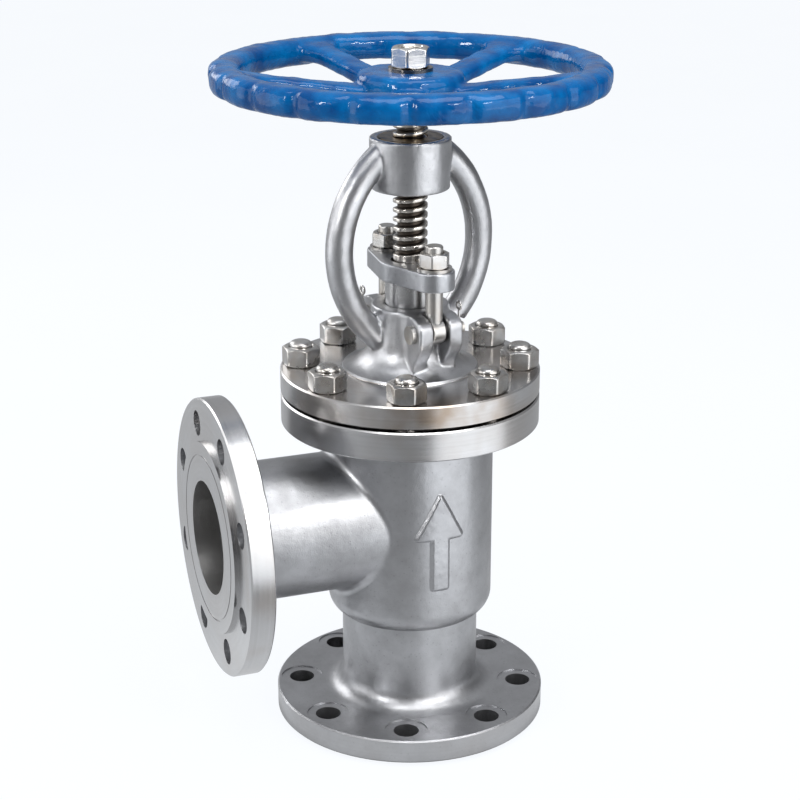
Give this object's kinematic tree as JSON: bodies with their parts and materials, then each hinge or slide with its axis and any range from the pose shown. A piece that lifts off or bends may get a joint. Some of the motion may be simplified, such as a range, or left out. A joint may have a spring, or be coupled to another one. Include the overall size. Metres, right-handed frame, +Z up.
{
  "type": "angle globe valve",
  "caption": "Flanged angle-pattern globe valve with a bolted bonnet, round-arm yoke, rising threaded stem, bolted gland and a spoked handwheel with grip notches.",
  "frame": {"origin": "centre of the lower (inlet) flange's raised face", "axes": "+Z up along the stem, towards the handwheel; -X along the side branch; -Y is the side with the raised flow arrow"},
  "size_m": [0.285, 0.27, 0.4865],
  "materials": {
    "body_casting": "bead-blasted cast stainless steel, machined flange faces",
    "bonnet_casting": "bead-blasted cast stainless steel, machined flange faces",
    "machined_steel": "turned stainless steel",
    "stem_steel": "ground and polished stainless steel",
    "fastener_steel": "polished stainless fasteners, slightly warm",
    "gland_steel": "cast stainless steel, darker satin",
    "nut_bronze": "machined aluminium bronze",
    "graphite": "braided graphite, matt",
    "wheel_paint": "glossy blue enamel over cast iron"
  },
  "bodies": {
    "root": {"valve_body": "body_casting", "inlet_end": "body_casting", "outlet_end": "body_casting", "bonnet": "bonnet_casting", "bonnet_gasket": "graphite", "bonnet_studs": "fastener_steel", "bonnet_nuts": "fastener_steel", "backseat_bush": "machined_steel", "packing_washer": "machined_steel", "packing_ring_1": "graphite", "packing_ring_2": "graphite", "packing_ring_3": "graphite", "packing_ring_4": "graphite", "eye_bolt_front": "fastener_steel", "eye_bolt_back": "fastener_steel", "lug_pins": "fastener_steel", "split_pins": "machined_steel", "stem_nut": "nut_bronze", "grub_screw": "machined_steel"},
    "disc_group": {"disc": "machined_steel", "disc_cover": "machined_steel"},
    "stem_group": {"stem": "stem_steel", "handwheel": "wheel_paint", "handwheel_washer": "fastener_steel", "handwheel_nut": "fastener_steel"},
    "gland_group": {"gland_flange": "gland_steel", "gland_follower": "gland_steel", "gland_washers": "fastener_steel", "gland_nuts": "fastener_steel"}
  },
  "joints": [
    {"name": "stem_lift", "type": "slide", "parent": "root", "child": "disc_group", "axis": [0, 0, 1], "range_m": [0, 0.02536]},
    {"name": "handwheel_turn", "type": "hinge", "parent": "disc_group", "child": "stem_group", "pos_m": [0, 0, 0.468], "axis": [0, 0, 1], "range_deg": [0, 1404]},
    {"name": "gland_back_off", "type": "slide", "parent": "root", "child": "gland_group", "axis": [0, 0, 1], "range_m": [0, 0.004]}
  ],
  "couplings": [
    {"joint": "stem_lift", "follows": "handwheel_turn", "m_per_rad": 0.0010345}
  ]
}
